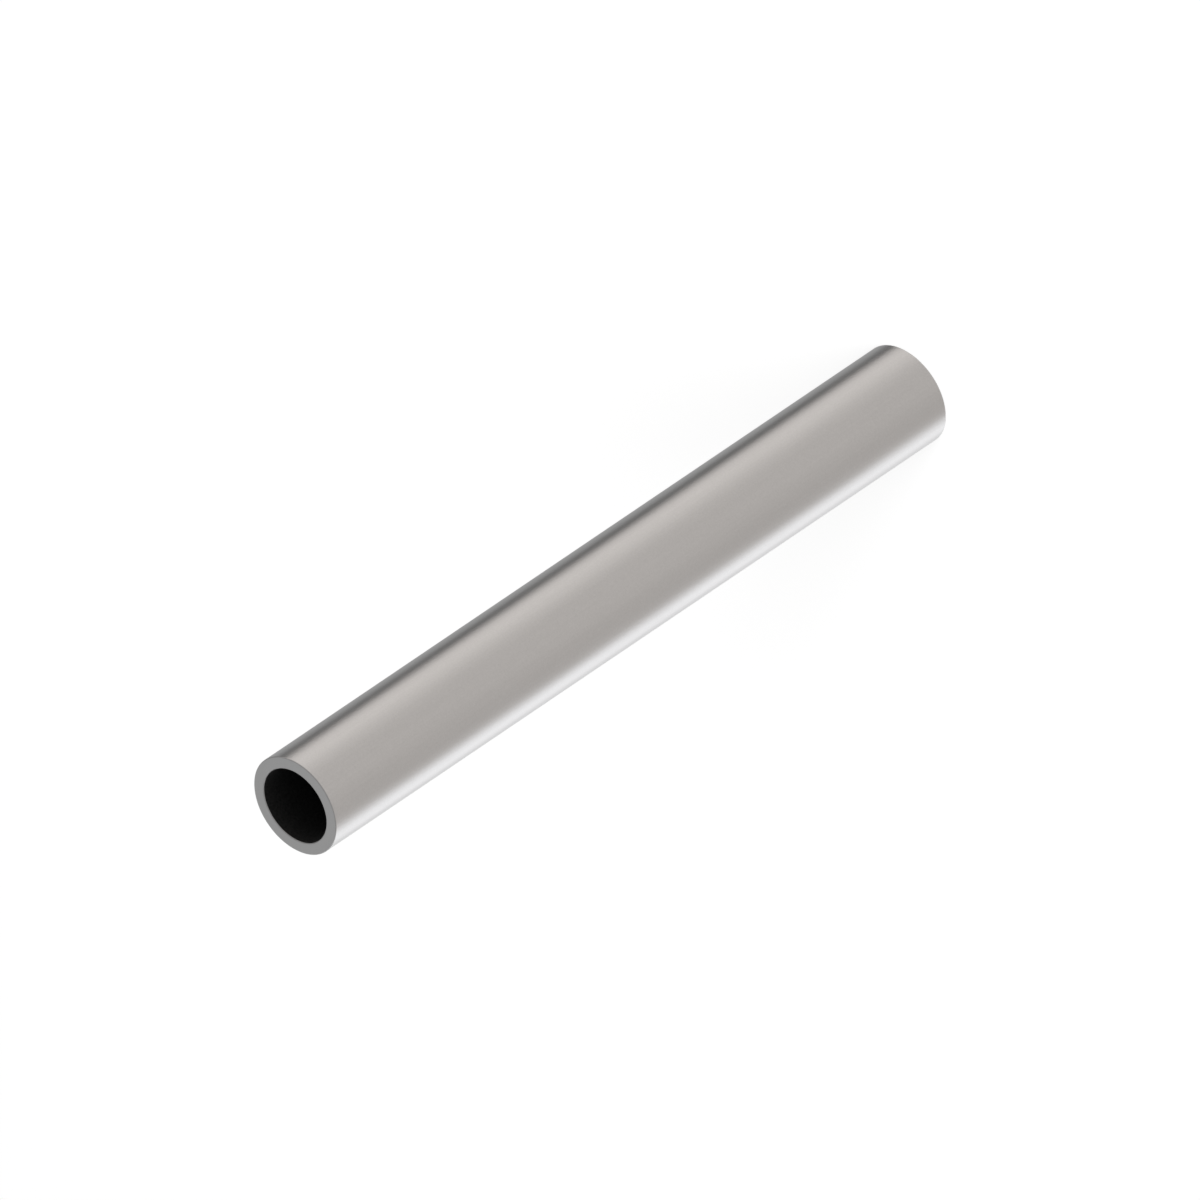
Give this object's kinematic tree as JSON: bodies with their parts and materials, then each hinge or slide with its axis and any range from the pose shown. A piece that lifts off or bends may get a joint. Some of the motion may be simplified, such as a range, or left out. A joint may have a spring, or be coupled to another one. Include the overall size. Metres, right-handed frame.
{
  "type": "sleeve bushing",
  "caption": "Long plain steel sleeve bushing: a straight round tube with a through bore and square ends, lining a housing or spacing parts on a shaft.",
  "frame": {"origin": "centre of the lower end face, on the bore axis", "axes": "+Z along the bore axis, from the end it stands on to the other end; +X and +Y are any two square directions, as the part is round"},
  "size_m": [0.0254, 0.0254, 0.211],
  "materials": {
    "steel": "satin drawn steel, bare, with faced ends and a dark oiled bore"
  },
  "bodies": {
    "root": {"bushing": "steel"}
  },
  "joints": []
}
